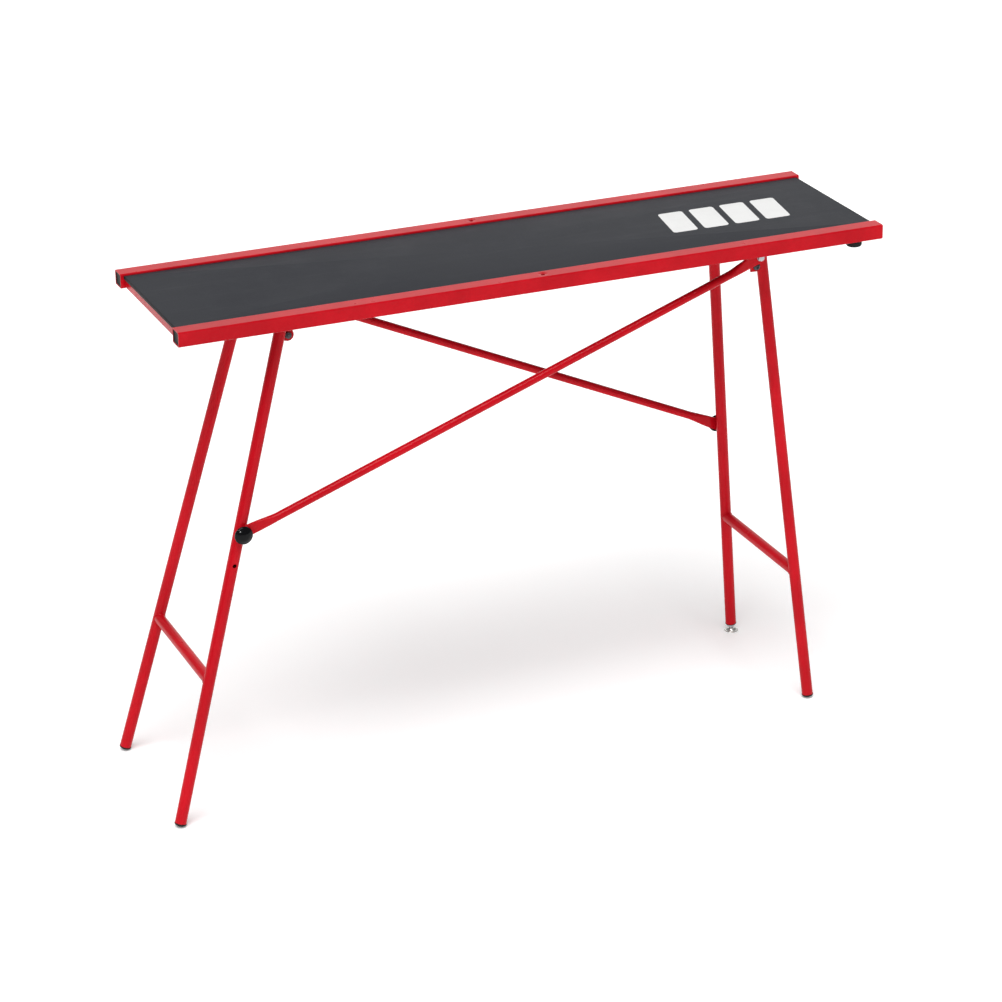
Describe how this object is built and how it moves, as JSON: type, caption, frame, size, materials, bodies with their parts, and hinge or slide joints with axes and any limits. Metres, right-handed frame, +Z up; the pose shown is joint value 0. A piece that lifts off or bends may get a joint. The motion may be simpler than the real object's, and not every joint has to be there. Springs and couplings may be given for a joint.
{
  "type": "folding work table",
  "caption": "Narrow folding work table: a dark board between red tubular rails on two hinged leg frames, held open by diagonal braces with screw knobs.",
  "frame": {"origin": "on the floor, under the middle of the bounding box", "axes": "+X along the rails towards the upright leg frame, +Y across the table towards the far rail, +Z up"},
  "size_m": [1.247, 0.326, 0.836],
  "materials": {
    "red_paint": "gloss powder coat",
    "board": "fine textured matt",
    "black_plastic": "moulded satin",
    "knob_plastic": "polished moulding",
    "rubber": "matt",
    "foot_rubber": "semi-matt",
    "zinc": "bright plated",
    "black_steel": "blackened"
  },
  "bodies": {
    "table": {"near_rail": "red_paint", "far_rail": "red_paint", "rail_end_plugs": "black_plastic", "left_end_bar": "red_paint", "right_end_bar": "red_paint", "left_hinge_bar": "red_paint", "right_hinge_bar": "red_paint", "centre_bar": "red_paint", "work_board": "board", "board_screws": "zinc", "rubber_buffers": "rubber", "left_hinge_brackets": "red_paint", "right_hinge_brackets": "red_paint", "right_pivot_bolts": "black_steel", "right_pivot_nuts": "black_steel", "brace_pivot_bolts": "zinc", "brace_pivot_nuts": "zinc", "brace_pivot_bushes": "zinc"},
    "right_legs": {"right_near_leg": "red_paint", "right_far_leg": "red_paint", "right_cross_tube": "red_paint", "right_hinge_plates": "red_paint", "right_foot_cap": "foot_rubber", "levelling_socket": "black_plastic"},
    "levelling_foot": {"levelling_screw": "zinc", "levelling_nut": "zinc", "levelling_pad": "zinc"},
    "left_carrier": {"left_pivot_bolts": "black_steel", "left_pivot_nuts": "black_steel"},
    "left_legs": {"left_near_leg": "red_paint", "left_far_leg": "red_paint", "left_cross_tube": "red_paint", "left_hinge_plates": "red_paint", "left_foot_caps": "foot_rubber"},
    "near_stay": {"near_brace": "red_paint"},
    "far_stay": {"far_brace": "red_paint"},
    "near_knob": {"near_knob": "knob_plastic", "near_knob_stud": "zinc"},
    "far_knob": {"far_knob": "knob_plastic", "far_knob_stud": "zinc"}
  },
  "joints": [
    {"name": "right_fold", "type": "hinge", "parent": "table", "child": "right_legs", "pos_m": [0.42348, 0, 0.776], "axis": [0, 1, 0], "range_deg": [0, 96.7]},
    {"name": "near_stay_fold", "type": "hinge", "parent": "table", "child": "near_stay", "pos_m": [0.42348, -0.11775, 0.796], "axis": [0, 1, 0], "range_deg": [0, 19.53]},
    {"name": "far_stay_fold", "type": "hinge", "parent": "table", "child": "far_stay", "pos_m": [-0.37652, 0.11775, 0.796], "axis": [0, -1, 0], "range_deg": [0, 24.57]},
    {"name": "left_start", "type": "hinge", "parent": "table", "child": "left_carrier", "pos_m": [-0.37652, 0, 0.776], "axis": [0, -1, 0], "range_deg": [0, 43.9]},
    {"name": "left_fold", "type": "hinge", "parent": "left_carrier", "child": "left_legs", "pos_m": [-0.37652, 0, 0.776], "axis": [0, -1, 0], "range_deg": [0, 60]},
    {"name": "near_knob_unscrew", "type": "slide", "parent": "near_stay", "child": "near_knob", "axis": [0.0093, -1, 0], "range_m": [0, 0.014]},
    {"name": "far_knob_unscrew", "type": "slide", "parent": "far_stay", "child": "far_knob", "axis": [-0.0145, 0.9999, 0], "range_m": [0, 0.014]},
    {"name": "levelling_travel", "type": "slide", "parent": "right_legs", "child": "levelling_foot", "axis": [0.0904, 0.0724, -0.9933], "range_m": [0, 0.01]}
  ],
  "couplings": [
    {"joint": "near_stay_fold", "follows": "right_fold", "ratio": 0.20195},
    {"joint": "far_stay_fold", "follows": "right_fold", "ratio": 0.2541}
  ]
}
